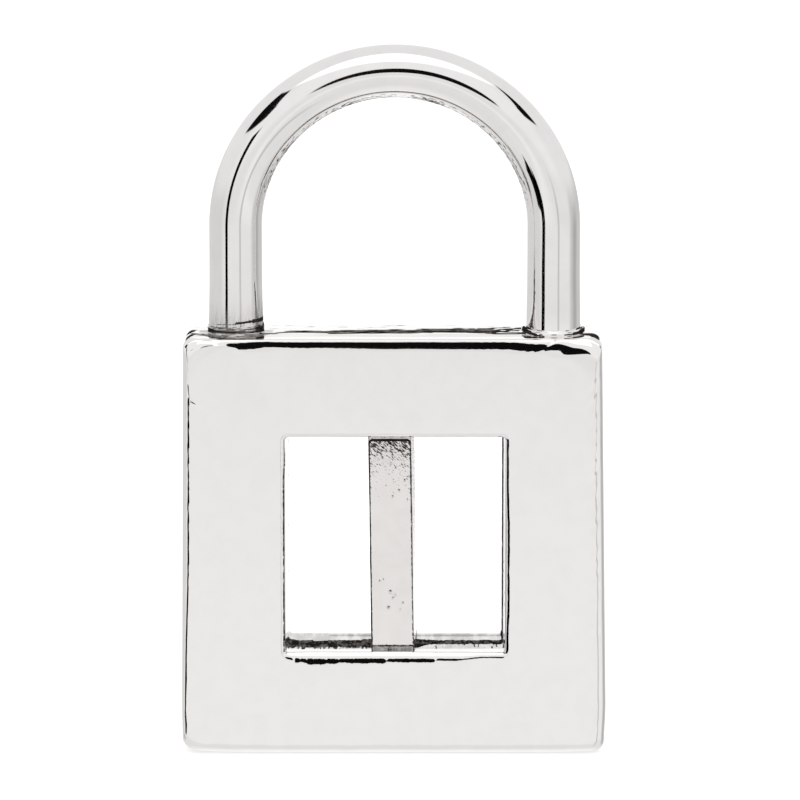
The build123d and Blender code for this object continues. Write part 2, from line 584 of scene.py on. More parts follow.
@dataclass
class LockBody:
    """The square lock: four rails round a window, hand-worked at every edge.

    Corners and their softness are listed from the lower right one up and round, edges as right, top, left
    and bottom, and pairs as left and right. The top face's stains are in millimetres.
    """

    ring: SquareRing = field(default_factory=SquareRing)
    corners: tuple[float, float, float, float] = (0.52 * MM, 0.42 * MM, 0.42 * MM, 0.64 * MM)
    soft_corners: tuple[float, float, float, float] = (0.3, 3.2, 3.2, 0.5)
    foot_flare: tuple[float, float] = (0.080 * MM, 0.142 * MM)
    foot_tuck: tuple[float, float] = (0.045 * MM, 0.100 * MM)
    wider: tuple[float, float] = (0.03 * MM, 0.008 * MM)
    foot_lift: tuple[float, float] = (0.16 * MM, 0.09 * MM)
    face_ripple: float = 0.0025 * MM
    cross_streak_depth: float = 0.18 * MM
    height: float = LOCK_TOP
    half_width: float = field(init=False)
    half_depth: float = field(init=False)
    window_left: float = -4.89 * MM
    window_right: float = 5.04 * MM
    window_foot: float = 4.73 * MM
    window_head: float = 14.67 * MM
    window_corner: float = 0.16 * MM
    wall_draft: float = 0.11 * MM
    front_edges: tuple[EdgeProfile, ...] = (
        EdgeProfile(((0.30, 5.0, 0.3), (0.10, 12.0, 0.2), (0.10, 26.0, 0.1),
                     (0.15, 50.0, 0.05), (0.26, 90.0, 0.05)), 4.0),
        EdgeProfile(((0.09, 5.6, 0.06), (0.31, 14.3, 0.02), (0.07, 62.0, 0.05),
                     (0.06, 84.0, 0.1), (0.20, 90.0, 0.1)),
                    2.2, (Clump(1, -0.1, 0.47, 1.22, 0.25), Clump(1, 0.90, 1.1, 1.12, 0.05),
                          Clump(1, 0.064, 0.070, 0.66, 0.007), Clump(1, 1.0, 1.1, 0.02, 0.040),
                          Clump(2, -0.1, 0.065, 2.9, 0.18), Clump(2, -0.1, -0.01, 2.2, 0.06),
                          Clump(2, 0.064, 0.070, 1.66, 0.007), Clump(2, 0.955, 1.1, 2.0, 0.10),
                          Clump(2, 0.99, 1.1, 2.0, 0.03), Clump(4, 0.87, 1.1, 2.4, 0.04),
                          Clump(4, -0.1, 0.13, 2.0, 0.04))),
        EdgeProfile(((0.05, 5.0, 0.2), (0.02, 15.1, 0.1), (0.088, 20.7, 0.12),
                     (0.17, 50.0, 0.04), (0.26, 90.0, 0.04)),
                    3.0, (Clump(2, -0.1, 0.01, 0.3, 0.05), Clump(3, 0.88, 1.1, 0.55, 0.35),
                          Clump(4, 0.88, 1.1, 0.6, 0.35))),
        EdgeProfile(((0.06, 5.0, 0.2), (0.10, 14.0, 0.2), (0.13, 35.0, 0.1),
                     (0.12, 50.0, 0.05), (0.30, 90.0, 0.05)), 3.0),
    )
    window_edges: tuple[EdgeProfile, ...] = (
        EdgeProfile(((0.02, 6.0, 0.2), (0.03, 21.5, 0.1), (0.105, 26.3, 0.1),
                     (0.04, 50.0, 0.1), (0.06, 90.0, 0.1)),
                    1.6, (Clump(3, 0.25, 0.55, 2.0, 0.25), Clump(4, 0.25, 0.55, 2.0, 0.25))),
        EdgeProfile(((0.03, 6.0, 0.2), (0.05, 14.0, 0.2), (0.06, 35.0, 0.1),
                     (0.05, 50.0, 0.1), (0.15, 90.0, 0.1)),
                    1.4),
        EdgeProfile(((0.05, 6.0, 0.3), (0.08, 19.5, 0.2), (0.07, 40.0, 0.1),
                     (0.04, 50.0, 0.1), (0.14, 90.0, 0.1)),
                    1.4),
        EdgeProfile(((0.03, 7.0, 0.1), (0.11, 16.2, 0.13), (0.03, 22.0, 0.2),
                     (0.15, 50.0, 0.04), (0.07, 90.0, 0.1)),
                    1.1, (Clump(1, 0.035, 0.68, 1.62, 0.022), Clump(1, 0.035, 0.45, 1.36, 0.022),
                          Clump(1, 0.85, 1.1, 0.6, 0.1),
                          Clump(1, 0.10, 0.16, 1.15, 0.03), Clump(1, 0.25, 0.28, 0.85, 0.03),
                          Clump(3, 0.08, 0.80, 1.8, 0.12))),
    )
    back_edges: tuple[EdgeProfile, ...] = (
        EdgeProfile(((0.20, 12.0, 0.1), (0.16, 45.0, 0.05), (0.36, 90.0, 0.05)), 3.0),
    ) * 4
    back_window_edges: tuple[EdgeProfile, ...] = (
        EdgeProfile(((0.06, 14.0, 0.1), (0.05, 50.0, 0.1), (0.06, 90.0, 0.1)), 1.4),
    ) * 3 + (EdgeProfile(((0.10, 14.0, 0.1), (0.12, 50.0, 0.1), (0.19, 90.0, 0.1)), 1.4),)
    top_stains: tuple[DarkStroke, ...] = (
        DarkStroke(-5.95, -0.57, -5.41, -0.48, 0.14, 0.90), DarkStroke(-5.41, -0.48, -4.59, -0.11, 0.18, 0.80),
        DarkStroke(-4.59, -0.11, -2.60, -0.20, 0.34, 0.76), DarkStroke(-2.60, -0.20, -0.50, -0.05, 0.48, 0.78),
        DarkStroke(-0.50, -0.05, 1.50, 0.00, 0.48, 0.78), DarkStroke(1.50, 0.10, 3.00, 0.12, 0.38, 0.74),
        DarkStroke(1.40, -0.10, 3.10, -0.20, 0.16, 0.95), DarkStroke(3.00, 0.12, 4.30, 0.22, 0.30, 0.76),
        DarkStroke(3.00, -0.10, 4.70, -0.55, 0.15, 1.05), DarkStroke(4.70, -0.55, 6.00, -0.57, 0.15, 1.10),
        DarkStroke(3.60, 0.10, 4.60, -0.20, 0.13, 0.90), DarkStroke(4.40, 0.15, 5.70, 0.70, 0.15, 0.80),
        DarkStroke(4.20, -0.15, 5.60, 0.25, 0.12, 0.80), DarkStroke(4.50, -0.10, 6.00, -0.35, 0.09, 0.85),
        DarkStroke(3.40, 0.35, 5.20, 1.00, 0.12, 0.72), DarkStroke(1.20, 0.45, 3.60, 0.60, 0.12, 0.62),
        DarkStroke(8.52, -0.66, 8.85, -0.70, 0.14, 1.30), DarkStroke(8.80, -0.72, 9.10, -0.90, 0.28, 1.30),
        DarkStroke(9.05, -0.90, 9.35, -1.35, 0.28, 1.30), DarkStroke(9.32, -1.35, 9.47, -1.80, 0.20, 1.30),
        DarkStroke(-9.42, -1.60, -9.10, -0.86, 0.15, 1.10), DarkStroke(-9.29, -0.35, -9.07, 0.15, 0.14, 1.00),
        DarkStroke(-9.07, -0.45, -8.34, -0.92, 0.10, 0.85), DarkStroke(-9.05, -0.75, -8.30, -1.15, 0.10, 0.75),
    )

    def __post_init__(self) -> None:
        """Takes half the lock's width and thickness from the modelled frame."""
        low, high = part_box("lock_body")
        self.half_width = (high[0] - low[0]) / 2.0
        self.half_depth = (high[1] - low[1]) / 2.0

    def side_curves(self, profiles: tuple[EdgeProfile, ...], steps: int,
                    seed: int) -> tuple[np.ndarray, np.ndarray]:
        """Blends four edge profiles round the ring.

        Args:
            profiles: Edges of the right, top, left and bottom sides.
            steps: Points on each of an edge's runs.
            seed: Chooses the unevenness.

        Returns:
            Distance in from the wall and depth below the face, each of shape (points, stations).
        """
        curves = [edge.curve(self.ring.share_of(k), steps, seed + k) for k, edge in enumerate(profiles)]
        return self.ring.by_side(*(c[0] for c in curves)), self.ring.by_side(*(c[1] for c in curves))

    def outer(self, inset: np.ndarray) -> np.ndarray:
        """The lock's outline moved in by inset, its corners softer further in, flared and tucked in low down.

        The flare is in proportion to the drop below mid height. The underside rises towards its corners, by
        the eighth power of the place across, and more on the left.

        Args:
            inset: How far in each station lies, of shape (points, stations).

        Returns:
            Places of shape (points, stations, 2).
        """
        radii = np.array(self.corners) + (np.array(self.soft_corners) - 0.5) * inset.mean(-1)[:, None]
        in_x, in_z = self.ring.across_only(inset)
        places = self.ring.outline(self.half_width - in_x, self.height / 2.0 - in_z, radii)
        across = places[..., 0] / self.half_width
        drop = -places[..., 1] / (self.height / 2.0)
        tuck = smooth_step(drop, 0.75, 1.0)
        left_more, right_more = (wide + flare * drop - back * tuck for wide, flare, back
                                 in zip(self.wider, self.foot_flare, self.foot_tuck))
        places[..., 0] += np.where(across > 0.0, right_more, -left_more) * np.minimum(np.abs(across), 1.0)
        left_lift, right_lift = self.foot_lift
        lift = np.where(across > 0.0, right_lift, left_lift) * np.abs(across) ** 8
        places[..., 1] += lift * smooth_step(drop, 0.6, 1.0)
        return places + np.array([0.0, self.height / 2.0])

    def inner(self, outset: np.ndarray) -> np.ndarray:
        """The window's outline moved out by outset.

        Args:
            outset: How far out each station lies, of shape (points, stations).

        Returns:
            Places of shape (points, stations, 2).
        """
        half_x = (self.window_right - self.window_left) / 2.0
        half_z = (self.window_head - self.window_foot) / 2.0
        radii = self.window_corner + outset.mean(-1)[:, None] * np.ones(4)
        out_x, out_z = self.ring.across_only(outset)
        places = self.ring.outline(half_x + out_x, half_z + out_z, radii)
        centre = np.array([self.window_right + self.window_left, self.window_head + self.window_foot]) / 2.0
        return places + centre

    def half_shell(self, edges: tuple[tuple[EdgeProfile, ...], tuple[EdgeProfile, ...]], steps: int,
                   rows: tuple[int, int, int], seed: int) -> tuple[np.ndarray, np.ndarray, np.ndarray]:
        """One half of the rails, from the middle of the outer sides over the face to that of the window.

        The sides are straight, each edge follows its curve, and the face is the straight blend of the
        outline where the outer edge starts and the one where the window's edge ends.

        Args:
            edges: Edge profiles of the four outer sides and of the window's four walls.
            steps: Points on each of an edge's runs.
            rows: Points across the outer side, the face and the window's wall.
            seed: Chooses the unevenness.

        Returns:
            Places (points, stations, 2), depth below the face (points, stations), and how much each row of
            points belongs to the window, from 0 to 1.
        """
        outer_in, outer_deep = self.side_curves(edges[0], steps, seed)
        inner_out, inner_deep = self.side_curves(edges[1], steps, seed + 4)
        outer_line, inner_line = self.outer(outer_in), self.inner(inner_out)
        outer_rows, face_rows, inner_rows = rows
        share = np.linspace(0.0, 1.0, face_rows + 2)[1:-1]
        face = outer_line[0] + (inner_line[0] - outer_line[0]) * share[:, None, None]
        outer_down = np.linspace(1.0, 0.0, outer_rows, endpoint=False)[:, None]
        inner_down = np.linspace(1.0, 0.0, inner_rows, endpoint=False)[:, None]
        outer_wall_deep = outer_deep[-1] + (self.half_depth - outer_deep[-1]) * outer_down
        inner_wall_deep = (inner_deep[-1] + (self.half_depth - inner_deep[-1]) * inner_down)[::-1]
        outer_wall = np.broadcast_to(outer_line[-1], (outer_rows, *outer_line.shape[1:]))
        inner_wall = np.broadcast_to(inner_line[-1], (inner_rows, *inner_line.shape[1:]))
        flat = np.concatenate([outer_wall, outer_line[::-1], face, inner_line, inner_wall])
        deep = np.concatenate(
            [outer_wall_deep, outer_deep[::-1], np.zeros(face.shape[:2]), inner_deep, inner_wall_deep]
        )
        outside, within = outer_rows + len(outer_line), inner_rows + len(inner_line)
        return flat, deep, np.concatenate([np.zeros(outside), share, np.ones(within)])

    def build(self, material: bpy.types.Material) -> None:
        """Makes the rails as one closed surface and dresses it.

        The front half and the turned-round back half meet in the middle of the walls. The window's walls
        close in evenly towards the back by the draft, and wide ripples move the faces a little. Streaks run
        along X, and along Y in the window.

        Args:
            material: The rails' silver.
        """
        front_pair = (self.front_edges, self.window_edges)
        back_pair = (self.back_edges, self.back_window_edges)
        front, front_deep, front_in = self.half_shell(front_pair, steps=5, rows=(18, 5, 13), seed=3)
        back, back_deep, back_in = self.half_shell(back_pair, steps=3, rows=(8, 3, 10), seed=23)
        flat = np.concatenate([front, back[::-1][1:-1]])
        y = np.concatenate([front_deep - self.half_depth, (self.half_depth - back_deep)[::-1][1:-1]])
        inside = np.concatenate([front_in, back_in[::-1][1:-1]])[:, None]
        x, z = flat[..., 0], flat[..., 1]
        window_x = (self.window_right + self.window_left) / 2.0
        half_x = (self.window_right - self.window_left) / 2.0
        closing = self.wall_draft * inside * (y + self.half_depth) / (2.0 * self.half_depth)
        x = x - closing * np.clip((x - window_x) / half_x, -1.0, 1.0)
        y = y + self.face_ripple * ripples(x, z + 2.0 * y, 4.0 * MM, 11)
        points = np.stack([x, y, z], -1)
        in_window = ((inside > 0.99) & (y > self.cross_streak_depth - self.half_depth))[..., None]
        flow = np.where(in_window, points[..., [1, 0, 2]], points)
        grime_and_shade, haze_and_grey_reflection = self.dark_marks(x / MM, y / MM, z / MM)
        rails = grid_object("lock_rails", points, grime_and_shade, haze_and_grey_reflection, flow, rows_close=True)
        finish_piece(rails, material, Skin.POLISHED, "lock_body")

    def dark_marks(self, x: np.ndarray, y: np.ndarray, z: np.ndarray) -> tuple[np.ndarray, np.ndarray]:
        """Black dirt and grey haze on the window's walls, the top face's seam and its corners, and a painted
        grey reflection along the front of the top face.

        Args:
            x: Place across, in millimetres.
            y: Place from front to back.
            z: Height.

        Returns:
            Grime and haze, the haze with a painted grey reflection in it, each of the same shape.
        """
        foot, head = self.window_foot / MM, self.window_head / MM
        left, right = self.window_left / MM, self.window_right / MM
        near_wall = np.exp(-((x - left) / 0.25) ** 2) + np.exp(-((x - right) / 0.25) ** 2)
        sill = patch(x, left - 0.02, right + 0.02, 0.02)
        sill = sill * patch(z, foot - 0.03, foot + 0.01 + 0.1 * near_wall, 0.01)
        on_left = 1.0 * (x < 0.0)
        by_end = np.exp(-((x - left) / 0.35) ** 2) + np.exp(-((x + 1.1) / 0.3) ** 2)
        wavy = 0.10 * ripples(x, 0.0 * x, 1.6, 61)
        left_slot = 0.95 - 0.5 * smooth_step(y, -0.6, -1.2)
        left_slot = left_slot * patch(y, -1.25, 0.34 + wavy + 0.4 * by_end, 0.18)
        by_bar = np.exp(-((x - 1.0) / 0.4) ** 2)
        right_slot = patch(y, -0.28 + 0.6 * wavy - 0.7 * by_bar, 0.47 + 0.2 * by_bar, 0.09)
        right_slot += 0.26 * patch(y, -1.2, -0.4, 0.10)
        ledge = patch(y, 1.25, 1.55, 0.12) * smooth_step(x, -3.4, -2.6)
        grime_and_shade = sill * (on_left * left_slot + (1.0 - on_left) * right_slot + 0.16 * ledge)
        haze_and_grey_reflection = sill * np.maximum(0.5 * patch(y, -1.2, 2.0, 0.1), ledge)
        upright = patch(z, foot + 0.05, head - 0.02, 0.03)
        right_wall = patch(x, right - 0.14, right + 0.02, 0.01) * upright
        left_wall = patch(x, left - 0.02, left + 0.14, 0.01) * upright
        grime_and_shade += right_wall * (0.95 * patch(y, 0.1, 1.90, 0.05) + 0.15 * patch(y, -1.6, 0.0, 0.1))
        haze_and_grey_reflection += 0.35 * right_wall * patch(y, -1.6, 1.88, 0.06)
        grime_and_shade += left_wall * 0.42 * patch(y, 1.6, 1.88, 0.06)
        edge_line = left - 0.065 + 0.12 * smooth_step(z, 12.6, 14.6)
        grime_and_shade += 0.80 * patch(x - edge_line, -0.025, 0.025, 0.02) * patch(y, -2.04, -1.6, 0.02) * upright
        top = smooth_step(z, 18.95, 19.10)
        grime_and_shade += top * (darkest(self.top_stains, x, y) + 0.18 * patch(y, -0.1, 1.4, 0.3))
        # Painted grey reflection: a grey band along the front of the top face, for the grey that the polished
        # top edge mirrors.
        haze_and_grey_reflection += 0.33 * top * patch(y, -1.25, -0.62, 0.12) * patch(np.abs(x), 0.0, 9.0, 0.3)
        haze_and_grey_reflection += 0.6 * top * patch(np.hypot(x + 7.1, y), 1.2, 1.6, 0.15) * (y < 0.3)
        return np.clip(grime_and_shade, 0.0, 1.3), np.clip(haze_and_grey_reflection, 0.0, 1.0)


@dataclass(frozen=True)
class Pit:
    """One pit in a cast face: its place across and up the bar, its radius and its depth, in millimetres."""

    x: float
    z: float
    radius: float
    depth: float


@dataclass
class WindowBar:
    """The upright bar in the window, leaning a little, with a cast skin that is pitted near its top."""

    width: float = 1.90 * MM
    draft: float = math.radians(2.6)
    lean: float = math.radians(0.8)
    round: float = 0.08 * MM
    left_bulge: float = 0.03 * MM
    flank_wander: float = 0.012 * MM
    streak_tilt: float = math.radians(38.0)
    rows: int = 420
    front_steps: int = 84
    flank_steps: int = 26
    back_steps: int = 24
    pits: tuple[Pit, ...] = (
        Pit(-0.15, 7.45, 0.055, 0.05), Pit(0.04, 7.28, 0.05, 0.05), Pit(-0.04, 7.15, 0.04, 0.04),
        Pit(-0.22, 6.72, 0.06, 0.04), Pit(0.42, 6.93, 0.04, 0.03), Pit(0.30, 6.62, 0.03, 0.03),
        Pit(-0.62, 7.95, 0.035, 0.03), Pit(-0.45, 8.02, 0.03, 0.02), Pit(0.25, 12.15, 0.04, 0.04),
        Pit(-0.05, 11.85, 0.035, 0.03), Pit(0.5, 12.6, 0.04, 0.04), Pit(0.62, 11.7, 0.03, 0.03),
    )

    def section(self) -> tuple[np.ndarray, np.ndarray]:
        """The bar's outline at mid height: round front corners, a straight and a drafted flank, a flat back.

        Returns:
            Places (columns, 2) across and back from the middle of the front, and their outward directions.
        """
        low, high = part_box("window_bar")
        depth = high[1] - low[1]
        half, r = self.width / 2.0, self.round
        grow = depth * math.tan(self.draft)
        turn = np.linspace(0.0, np.pi / 2.0, 8)
        right_corner = np.stack([half - r + r * np.sin(turn), r - r * np.cos(turn)], -1)
        left_corner = np.stack([-half + r - r * np.cos(turn), r - r * np.sin(turn)], -1)
        front = np.stack([np.linspace(-half + r, half - r, self.front_steps), np.zeros(self.front_steps)], -1)
        t = np.linspace(0.0, 1.0, self.flank_steps)[1:, None]
        right = right_corner[-1] * (1.0 - t) + np.array([half + grow, depth]) * t
        left = np.array([-half, depth]) * (1.0 - t) + left_corner[0] * t
        s = np.linspace(0.0, 1.0, self.back_steps)[1:, None]
        back = right[-1] * (1.0 - s) + np.array([-half, depth]) * s
        line = np.concatenate([front, right_corner[1:], right, back, left[:-1], left_corner[:-1]])
        step = np.roll(line, -1, 0) - np.roll(line, 1, 0)
        out = np.stack([step[:, 1], -step[:, 0]], -1)
        return line, out / np.linalg.norm(out, axis=1)[:, None]

    def build(self, material: bpy.types.Material) -> None:
        """Carries the section up along the leaning line, rounds its ends and pits its front.

        Near an end the section shrinks along a quarter circle. Ripples move the flanks, and the rough skin
        and the pits are cut inwards.

        Args:
            material: The bar's silver.
        """
        low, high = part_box("window_bar")
        line, out = self.section()
        height = high[2] - low[2]
        z = np.linspace(low[2], high[2], self.rows)[:, None]
        middle = (low[0] + high[0] - (high[1] - low[1]) * math.tan(self.draft)) / 2.0
        centre = middle - (z - low[2] - height / 2.0) * math.tan(self.lean)
        end = np.minimum(z - low[2], high[2] - z)
        over = np.clip(1.0 - end / self.round, 0.0, 1.0)
        shrink = self.round * (1.0 - np.sqrt(1.0 - over**2))
        wander = self.flank_wander * ripples(z + 2.0 * out[:, 0] * MM, 0.0 * z, 2.4 * MM, 35)
        x = centre + line[:, 0] + out[:, 0] * (wander - shrink)
        y = low[1] + line[:, 1] - out[:, 1] * shrink
        z = np.broadcast_to(z, x.shape)
        rough = self.roughness(x, y, z, high[2])
        hollow, dark_marks = self.hollows(x, y, z, low[1])
        deep = hollow + rough
        across = line[:, 0] / (self.width / 2.0) + 0.0 * z
        x = x - self.left_bulge * np.clip(-across, 0.0, 1.0)
        x, y = x - out[:, 0] * deep, y - out[:, 1] * deep
        points = np.stack([x, y, z], -1)
        grime_and_shade, haze_and_grey_reflection = self.dark_marks(across, y, z, low, high)
        cosine, sine = math.cos(self.streak_tilt), math.sin(self.streak_tilt)
        flow = np.stack([x * cosine - z * sine, x * sine + z * cosine, y], -1)
        grime_and_shade = np.clip(grime_and_shade + dark_marks, 0.0, 1.2)
        bar = grid_object("upright_bar", points, grime_and_shade, haze_and_grey_reflection, flow, rows_close=False)
        finish_piece(bar, material, Skin.CAST, "window_bar")

    @staticmethod
    def roughness(x: np.ndarray, y: np.ndarray, z: np.ndarray, top: float) -> np.ndarray:
        """Depth of the rough skin near the bar's top: ripples of two sizes that fade out downwards.

        Args:
            x: Place across, in metres.
            y: Place from front to back.
            z: Height.
            top: Height of the bar's upper end.

        Returns:
            How deep the skin is cut at each place.
        """
        near_top = smooth_step(z, top - 2.0 * MM, top - 0.3 * MM)
        coarse = ripples(x + 0.7 * y, z, 0.16 * MM, 33, 40)
        fine = ripples(x - 0.6 * y, z, 0.09 * MM, 37, 40)
        return (0.006 * MM * near_top + 0.0004 * MM) * (np.clip(coarse, -0.6, 1.5) + 0.6 * fine)

    def hollows(self, x: np.ndarray, y: np.ndarray, z: np.ndarray,
                front: float) -> tuple[np.ndarray, np.ndarray]:
        """Each pit is its depth times a bell curve of the distance from its middle, on the front face only.

        Args:
            x: Place across, in metres.
            y: Place from front to back.
            z: Height.
            front: Where the front face lies in Y.

        Returns:
            Depth of the pits and the grime in them at each place.
        """
        spot_x = np.array([pit.x for pit in self.pits]) * MM
        spot_z = np.array([pit.z for pit in self.pits]) * MM
        radius = np.array([pit.radius for pit in self.pits]) * MM
        depth = np.array([pit.depth for pit in self.pits]) * MM
        square = (x[..., None] - spot_x) ** 2 + (z[..., None] - spot_z) ** 2
        bell = np.exp(-square / radius**2) * (y < front + 0.1 * MM)[..., None]
        return (bell * depth).sum(-1), 0.75 * bell.max(-1)

    def dark_marks(self, across: np.ndarray, y: np.ndarray, z: np.ndarray, low: object,
             high: object) -> tuple[np.ndarray, np.ndarray]:
        """Dark casting skin that outlines the front, speckles its upper end and bands its foot, and painted
        shade under the window's head along the top.

        The outline is the signed distance in from a rectangle with rounded upper corners on the front face.

        Args:
            across: Place across the front, -1 at its left edge and 1 at its right, shape (rows, columns).
            y: Place from front to back.
            z: Height.
            low: The bar's lower bounds.
            high: The bar's upper bounds.

        Returns:
            Grime, with the painted shade under the window's head in it, and haze, each of the same shape.
        """
        half = self.width / 2.0 / MM
        from_side = half * (1.0 - np.abs(across))
        from_top = (high[2] - z) / MM - 0.17
        up = (z - low[2]) / MM
        corner = 0.2
        gap_u, gap_v = corner - from_side, corner - from_top
        inward = corner - np.hypot(np.maximum(gap_u, 0.0), np.maximum(gap_v, 0.0)) - np.minimum(
            np.maximum(gap_u, gap_v), 0.0)
        on_front = y < low[1] + 0.09 * MM
        side_line = 0.72 + 0.15 * smooth_step(from_top, 4.0, 0.5) + 0.16 * (across < 0.0)
        # Painted shade under the window's head: the outline is widened and darkened along the bar's top.
        shade_under_head = smooth_step(from_top, 0.3, 0.12)
        outline = patch(inward, 0.005, 0.055 + 0.03 * shade_under_head, 0.02) * (side_line + 0.6 * shade_under_head)
        speckle = 0.12 * smooth_step(from_top, 0.9, 0.12) + 0.28 * smooth_step(from_top, 1.8, 0.15)
        speckle += 0.175 * smooth_step(from_top, 4.2, 1.8)
        speckle += 0.06 * smooth_step(across, -0.3, 0.8) * smooth_step(from_top, 3.0, 0.3)
        foot = 0.85 * smooth_step(up, 0.32, 0.24) * (1.0 - 0.70 * patch(up, 0.06, 0.18, 0.03))
        flank = 0.36 * (across > 1.0) * smooth_step(from_top, 9.0, 3.0)
        front = np.maximum(outline, np.maximum(speckle, foot) * (inward > 0.0))
        haze_and_grey_reflection = 0.75 * smooth_step(up, 0.32, 0.2) + 0.3 * (inward < 0.0) * (from_top < 0.1)
        return np.where(on_front, front, np.maximum(flank, foot)), np.clip(haze_and_grey_reflection, 0.0, 1.0)


@dataclass
class Shackle:
    """The round wire of the shackle, bent by hand to a slightly flat half circle on two straight legs.

    A strand of painted shadow lies in degrees round the wire divided by 45, counted from its front towards
    the arch's inside, and millimetres up from the lock. The leg marks are the heights above the lock at which
    the rows of a leg change their spacing.
    """

    wire: float = 1.2 * MM
    arch: float = 7.15 * MM
    flattening: float = 0.982
    centre_x: float = 0.05 * MM
    rounds: int = 80
    leg_rows: tuple[int, int, int] = (24, 56, 54)
    leg_marks: tuple[float, float] = (0.3 * MM, 1.3 * MM)
    arch_rows: int = 380
    foot: float = LOCK_TOP
    swell: float = 0.03 * MM
    swell_middle: float = 19.6 * MM
    swell_reach: float = 1.3 * MM
    wave: float = 0.015 * MM
    wave_start: float = math.radians(80.0)
    unevenness: float = 0.0010 * MM
    end_chamfer: float = 0.15 * MM
    # Painted shadow of the left collar's upper edge, as dark strands round the wire just above the collar.
    collar_edge_shadow: tuple[DarkStroke, ...] = (
        DarkStroke(0.05, 0.60, 0.9, 0.65, 0.046, 1.25), DarkStroke(0.9, 0.65, 2.1, 0.63, 0.085, 1.35),
        DarkStroke(-0.9, 0.50, 0.2, 0.56, 0.022, 0.70),
    )

    def build(self, material: bpy.types.Material) -> None:
        """Carries a circle up one leg, round the arch and down the other.

        On a leg the path runs straight in Z, its rows closest by the collar. On the arch it is the arch
        radius times the cosine and, a little less, the sine of the turn, plus a small wave. Each ring lies
        across the path, in the outward and the front-to-back direction. Its radius is the wire's plus small
        ripples and a swell above the collars, and less within the chamfers of the hidden ends.

        Args:
            material: The wire's silver.
        """
        low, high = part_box("shackle")
        spring = high[2] - self.wire - self.arch * self.flattening
        marks = (low[2], *(self.foot + mark for mark in self.leg_marks), spring)
        climb = np.concatenate([np.linspace(start, end, count, endpoint=False)
                                for start, end, count in zip(marks, marks[1:], self.leg_rows)])
        turn = np.linspace(np.pi, 0.0, self.arch_rows)
        legs = np.ones_like(climb)
        bent = self.arch + self.wave * np.cos(3.0 * (turn - self.wave_start)) * np.sin(turn) ** 2
        path_x = np.concatenate([-self.arch * legs, bent * np.cos(turn), self.arch * legs])
        path_z = np.concatenate([climb, spring + self.flattening * bent * np.sin(turn), climb[::-1]])
        run_x, run_z = np.gradient(path_x), np.gradient(path_z)
        run = np.hypot(run_x, run_z)
        out_x, out_z = -run_z / run, run_x / run
        round_turn = np.linspace(0.0, 2.0 * np.pi, self.rounds, endpoint=False)
        away, ahead = np.cos(round_turn), -np.sin(round_turn)
        length = np.cumsum(np.hypot(np.diff(path_x, prepend=path_x[0]), np.diff(path_z, prepend=path_z[0])))
        girth = self.wire * round_turn[None, :] + 0.0 * length[:, None]
        uneven = self.unevenness * ripples(length[:, None], girth * 3.0, 3.0 * MM, 41)
        ends = np.minimum(length, length[-1] - length)[:, None]
        above_collar = np.exp(-((path_z[:, None] - self.swell_middle) / self.swell_reach) ** 2)
        swell = self.swell * above_collar * (ends < 8.0 * MM)
        chamfer = self.end_chamfer * np.clip(1.0 - ends / self.end_chamfer, 0.0, 1.0)
        radius = self.wire + uneven + swell - chamfer
        x = self.centre_x + path_x[:, None] + out_x[:, None] * away * radius
        z = path_z[:, None] + out_z[:, None] * away * radius
        y = ahead * radius + 0.0 * path_x[:, None]
        flow = np.stack([length[:, None] + 0.0 * girth, girth, 0.0 * girth], -1)
        grime_and_shade, haze_and_grey_reflection = self.dark_marks(x, z, away, ahead, spring)
        made = grid_object("shackle_wire", np.stack([x, y, z], -1), grime_and_shade, haze_and_grey_reflection, flow, rows_close=False)
        finish_piece(made, material, Skin.WIRE, "shackle")

    def dark_marks(self, x: np.ndarray, z: np.ndarray, away: np.ndarray, ahead: np.ndarray,
             spring: float) -> tuple[np.ndarray, np.ndarray]:
        """Worn-in dirt, specks inside the arch and a dull streaky zone above the left socket, and painted
        shadow of the left collar's upper edge.

        The angle round the wire is 0 on the side that looks into the arch and -90 degrees in front. A black
        strand of painted shadow, cast by the collar's upper edge, runs round the left leg just above its
        collar, and a short line runs up the right leg.

        Args:
            x: Place across of each point, in metres.
            z: Height.
            away: How far out of the arch each point of the ring lies, from -1 to 1.
            ahead: How far back it lies, from -1 to 1.
            spring: Height at which the arch starts.

        Returns:
            Grime, with the painted collar shadow in it, and haze, each of the shape of x.
        """
        angle = np.arctan2(ahead, -away) * np.ones_like(x)
        inner = patch(angle, -0.58, -0.03, 0.22) * (0.85 + 0.30 * ripples(x, z, 2.2 * MM, 71))
        on_arch = smooth_step(z, spring - 0.3 * MM, spring + 2.6 * MM)
        specks = inner * on_arch * (0.52 + 0.02 * smooth_step(x, -1.0 * MM, 1.5 * MM))
        up = (z - self.foot) / MM
        left = 1.0 * (x < 0.0)
        to_right = patch(angle, -0.6, 0.35, 0.25)
        low_zone = smooth_step(up, 1.7, 0.3)
        grime_and_shade = specks + left * (0.24 * low_zone + 0.10 * to_right * low_zone)
        turned = np.degrees(angle) / 45.0 + 2.0
        # Painted shadow of the left collar's upper edge on the wire.
        grime_and_shade = np.maximum(grime_and_shade, left * darkest(self.collar_edge_shadow, turned, up))
        line = np.abs(np.degrees(angle) + 45.0) < 3.0
        grime_and_shade += 0.62 * (x > 0.0) * line * patch(up, 1.25, 1.9, 0.2)
        haze_and_grey_reflection = left * (0.32 * low_zone + 0.55 * to_right * smooth_step(up, 2.2, 0.4))
        return np.clip(grime_and_shade, 0.0, 1.3), np.clip(haze_and_grey_reflection, 0.0, 1.0)


